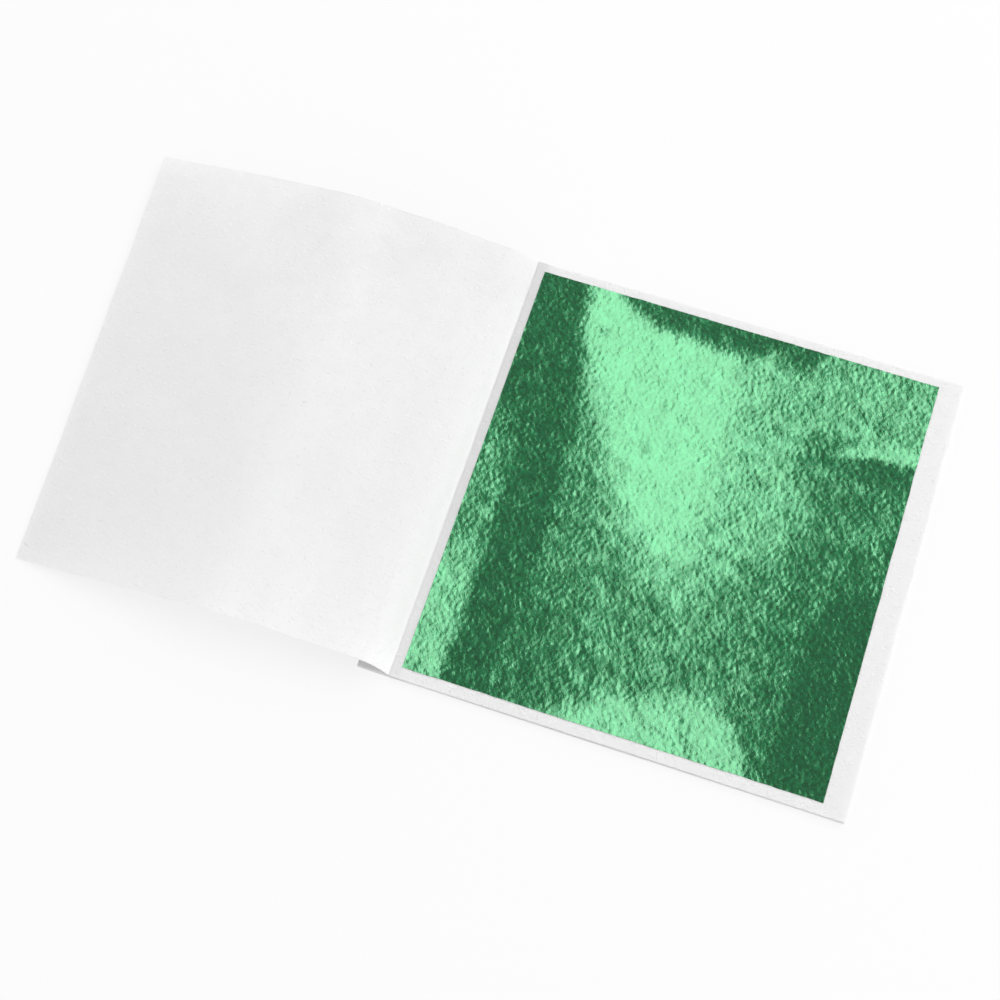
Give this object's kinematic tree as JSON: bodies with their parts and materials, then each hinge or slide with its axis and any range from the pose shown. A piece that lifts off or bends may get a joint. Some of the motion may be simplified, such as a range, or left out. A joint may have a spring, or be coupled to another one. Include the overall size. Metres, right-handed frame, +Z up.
{
  "type": "metal leaf booklet",
  "caption": "Booklet of green metal leaf squares held between white tissue sheets that are glued into a spine strip; its first sheet is turned over.",
  "frame": {"origin": "on the underside of the back cover, below the fold line and half way up the sheets", "axes": "+Z up, +X from the fold line to the fore edge of the leaves, +Y to the head of the booklet"},
  "size_m": [0.1654, 0.0899, 0.0095],
  "materials": {
    "tissue_paper": "matte",
    "cover_paper": "matte",
    "strip_paper": "matte",
    "padding_glue": "satin",
    "green_leaf": "satin"
  },
  "bodies": {
    "binding": {"back_cover": "cover_paper", "bound_margins": "tissue_paper", "spine_glue": "padding_glue", "spine_strip": "strip_paper"},
    "page_01_gutter_band": {"tissue_01_gutter_band": "tissue_paper"},
    "page_01_ridge_band": {"tissue_01_ridge_band": "tissue_paper"},
    "page_01_middle_band": {"tissue_01_middle_band": "tissue_paper"},
    "page_01_fore_band": {"tissue_01_fore_band": "tissue_paper"},
    "page_02": {"tissue_02": "tissue_paper"},
    "leaf_01": {"leaf_01": "green_leaf"},
    "page_03": {"tissue_03": "tissue_paper", "leaf_02": "green_leaf"},
    "page_04": {"tissue_04": "tissue_paper", "leaf_03": "green_leaf"},
    "page_05": {"tissue_05": "tissue_paper", "leaf_04": "green_leaf"},
    "page_06": {"tissue_06": "tissue_paper", "leaf_05": "green_leaf"},
    "page_07": {"tissue_07": "tissue_paper", "leaf_06": "green_leaf"},
    "page_08": {"tissue_08": "tissue_paper", "leaf_07": "green_leaf"},
    "page_09": {"tissue_09": "tissue_paper", "leaf_08": "green_leaf"},
    "page_10": {"tissue_10": "tissue_paper", "leaf_09": "green_leaf"},
    "page_11": {"tissue_11": "tissue_paper", "leaf_10": "green_leaf"},
    "page_12": {"tissue_12": "tissue_paper", "leaf_11": "green_leaf"},
    "page_13": {"tissue_13": "tissue_paper", "leaf_12": "green_leaf"},
    "page_14": {"tissue_14": "tissue_paper", "leaf_13": "green_leaf"},
    "page_15": {"tissue_15": "tissue_paper", "leaf_14": "green_leaf"},
    "page_16": {"tissue_16": "tissue_paper", "leaf_15": "green_leaf"},
    "page_17": {"tissue_17": "tissue_paper", "leaf_16": "green_leaf"},
    "page_18": {"tissue_18": "tissue_paper", "leaf_17": "green_leaf"},
    "page_19": {"tissue_19": "tissue_paper", "leaf_18": "green_leaf"},
    "page_20": {"tissue_20": "tissue_paper", "leaf_19": "green_leaf"},
    "page_21": {"tissue_21": "tissue_paper", "leaf_20": "green_leaf"},
    "page_22": {"tissue_22": "tissue_paper", "leaf_21": "green_leaf"},
    "page_23": {"tissue_23": "tissue_paper", "leaf_22": "green_leaf"},
    "page_24": {"tissue_24": "tissue_paper", "leaf_23": "green_leaf"},
    "page_25": {"tissue_25": "tissue_paper", "leaf_24": "green_leaf"},
    "page_26": {"tissue_26": "tissue_paper", "leaf_25": "green_leaf"}
  },
  "joints": [
    {"name": "page_01_turn", "type": "hinge", "parent": "binding", "child": "page_01_gutter_band", "pos_m": [0, 0, 0.00142], "axis": [0, 1, 0], "range_deg": [0, 110]},
    {"name": "page_01_ridge_bend", "type": "hinge", "parent": "page_01_gutter_band", "child": "page_01_ridge_band", "pos_m": [-0.00253, 0, 0.00836], "axis": [0.0076, 0.9998, -0.0209], "range_deg": [0, 88.01]},
    {"name": "page_01_middle_bend", "type": "hinge", "parent": "page_01_ridge_band", "child": "page_01_middle_band", "pos_m": [-0.0093, -0.00015, 0.00616], "axis": [-0.013, 0.9995, -0.0275], "range_deg": [-23.01, 0]},
    {"name": "page_01_fore_bend", "type": "hinge", "parent": "page_01_middle_band", "child": "page_01_fore_band", "pos_m": [-0.0402, -0.0005, 0.00888], "axis": [-0.1794, 0.9837, -0.0125], "range_deg": [0, 17.01]},
    {"name": "page_02_turn", "type": "hinge", "parent": "page_03", "child": "page_02", "pos_m": [0.0002, 0, 0.00137], "axis": [0, 1, 0], "range_deg": [-90, 0]},
    {"name": "leaf_01_lift", "type": "slide", "parent": "page_02", "child": "leaf_01", "axis": [0, 0, 1], "range_m": [0, 0.06]},
    {"name": "upper_pages_fan", "type": "hinge", "parent": "page_15", "child": "page_03", "pos_m": [0.0002, 0, 0.00132], "axis": [0, 1, 0], "range_deg": [-7, 0]},
    {"name": "page_04_fan", "type": "hinge", "parent": "page_15", "child": "page_04", "pos_m": [0.0002, 0, 0.00127], "axis": [0, 1, 0], "range_deg": [-6.42, 0]},
    {"name": "page_05_fan", "type": "hinge", "parent": "page_15", "child": "page_05", "pos_m": [0.0002, 0, 0.00123], "axis": [0, 1, 0], "range_deg": [-5.83, 0]},
    {"name": "page_06_fan", "type": "hinge", "parent": "page_15", "child": "page_06", "pos_m": [0.0002, 0, 0.00118], "axis": [0, 1, 0], "range_deg": [-5.25, 0]},
    {"name": "page_07_fan", "type": "hinge", "parent": "page_15", "child": "page_07", "pos_m": [0.0002, 0, 0.00113], "axis": [0, 1, 0], "range_deg": [-4.67, 0]},
    {"name": "page_08_fan", "type": "hinge", "parent": "page_15", "child": "page_08", "pos_m": [0.0002, 0, 0.00108], "axis": [0, 1, 0], "range_deg": [-4.08, 0]},
    {"name": "page_09_fan", "type": "hinge", "parent": "page_15", "child": "page_09", "pos_m": [0.0002, 0, 0.00103], "axis": [0, 1, 0], "range_deg": [-3.5, 0]},
    {"name": "page_10_fan", "type": "hinge", "parent": "page_15", "child": "page_10", "pos_m": [0.0002, 0, 0.00099], "axis": [0, 1, 0], "range_deg": [-2.92, 0]},
    {"name": "page_11_fan", "type": "hinge", "parent": "page_15", "child": "page_11", "pos_m": [0.0002, 0, 0.00094], "axis": [0, 1, 0], "range_deg": [-2.33, 0]},
    {"name": "page_12_fan", "type": "hinge", "parent": "page_15", "child": "page_12", "pos_m": [0.0002, 0, 0.00089], "axis": [0, 1, 0], "range_deg": [-1.75, 0]},
    {"name": "page_13_fan", "type": "hinge", "parent": "page_15", "child": "page_13", "pos_m": [0.0002, 0, 0.00084], "axis": [0, 1, 0], "range_deg": [-1.17, 0]},
    {"name": "page_14_fan", "type": "hinge", "parent": "page_15", "child": "page_14", "pos_m": [0.0002, 0, 0.00079], "axis": [0, 1, 0], "range_deg": [-0.58433, 0]},
    {"name": "lower_pages_fan", "type": "hinge", "parent": "binding", "child": "page_15", "pos_m": [0.0002, 0, 0.00075], "axis": [0, 1, 0], "range_deg": [-7, 0]},
    {"name": "page_16_fan", "type": "hinge", "parent": "binding", "child": "page_16", "pos_m": [0.0002, 0, 0.0007], "axis": [0, 1, 0], "range_deg": [-6.42, 0]},
    {"name": "page_17_fan", "type": "hinge", "parent": "binding", "child": "page_17", "pos_m": [0.0002, 0, 0.00065], "axis": [0, 1, 0], "range_deg": [-5.83, 0]},
    {"name": "page_18_fan", "type": "hinge", "parent": "binding", "child": "page_18", "pos_m": [0.0002, 0, 0.0006], "axis": [0, 1, 0], "range_deg": [-5.25, 0]},
    {"name": "page_19_fan", "type": "hinge", "parent": "binding", "child": "page_19", "pos_m": [0.0002, 0, 0.00055], "axis": [0, 1, 0], "range_deg": [-4.67, 0]},
    {"name": "page_20_fan", "type": "hinge", "parent": "binding", "child": "page_20", "pos_m": [0.0002, 0, 0.00051], "axis": [0, 1, 0], "range_deg": [-4.08, 0]},
    {"name": "page_21_fan", "type": "hinge", "parent": "binding", "child": "page_21", "pos_m": [0.0002, 0, 0.00046], "axis": [0, 1, 0], "range_deg": [-3.5, 0]},
    {"name": "page_22_fan", "type": "hinge", "parent": "binding", "child": "page_22", "pos_m": [0.0002, 0, 0.00041], "axis": [0, 1, 0], "range_deg": [-2.92, 0]},
    {"name": "page_23_fan", "type": "hinge", "parent": "binding", "child": "page_23", "pos_m": [0.0002, 0, 0.00036], "axis": [0, 1, 0], "range_deg": [-2.33, 0]},
    {"name": "page_24_fan", "type": "hinge", "parent": "binding", "child": "page_24", "pos_m": [0.0002, 0, 0.00031], "axis": [0, 1, 0], "range_deg": [-1.75, 0]},
    {"name": "page_25_fan", "type": "hinge", "parent": "binding", "child": "page_25", "pos_m": [0.0002, 0, 0.00027], "axis": [0, 1, 0], "range_deg": [-1.17, 0]},
    {"name": "page_26_fan", "type": "hinge", "parent": "binding", "child": "page_26", "pos_m": [0.0002, 0, 0.00022], "axis": [0, 1, 0], "range_deg": [-0.58433, 0]}
  ],
  "couplings": [
    {"joint": "page_01_ridge_bend", "follows": "page_01_turn", "ratio": 0.8},
    {"joint": "page_01_middle_bend", "follows": "page_01_turn", "ratio": -0.20909},
    {"joint": "page_01_fore_bend", "follows": "page_01_turn", "ratio": 0.15455},
    {"joint": "page_04_fan", "follows": "upper_pages_fan", "ratio": 0.91667},
    {"joint": "page_05_fan", "follows": "upper_pages_fan", "ratio": 0.83333},
    {"joint": "page_06_fan", "follows": "upper_pages_fan", "ratio": 0.75},
    {"joint": "page_07_fan", "follows": "upper_pages_fan", "ratio": 0.66667},
    {"joint": "page_08_fan", "follows": "upper_pages_fan", "ratio": 0.58333},
    {"joint": "page_09_fan", "follows": "upper_pages_fan", "ratio": 0.5},
    {"joint": "page_10_fan", "follows": "upper_pages_fan", "ratio": 0.41667},
    {"joint": "page_11_fan", "follows": "upper_pages_fan", "ratio": 0.33333},
    {"joint": "page_12_fan", "follows": "upper_pages_fan", "ratio": 0.25},
    {"joint": "page_13_fan", "follows": "upper_pages_fan", "ratio": 0.16667},
    {"joint": "page_14_fan", "follows": "upper_pages_fan", "ratio": 0.083333},
    {"joint": "page_16_fan", "follows": "lower_pages_fan", "ratio": 0.91667},
    {"joint": "page_17_fan", "follows": "lower_pages_fan", "ratio": 0.83333},
    {"joint": "page_18_fan", "follows": "lower_pages_fan", "ratio": 0.75},
    {"joint": "page_19_fan", "follows": "lower_pages_fan", "ratio": 0.66667},
    {"joint": "page_20_fan", "follows": "lower_pages_fan", "ratio": 0.58333},
    {"joint": "page_21_fan", "follows": "lower_pages_fan", "ratio": 0.5},
    {"joint": "page_22_fan", "follows": "lower_pages_fan", "ratio": 0.41667},
    {"joint": "page_23_fan", "follows": "lower_pages_fan", "ratio": 0.33333},
    {"joint": "page_24_fan", "follows": "lower_pages_fan", "ratio": 0.25},
    {"joint": "page_25_fan", "follows": "lower_pages_fan", "ratio": 0.16667},
    {"joint": "page_26_fan", "follows": "lower_pages_fan", "ratio": 0.083333}
  ]
}
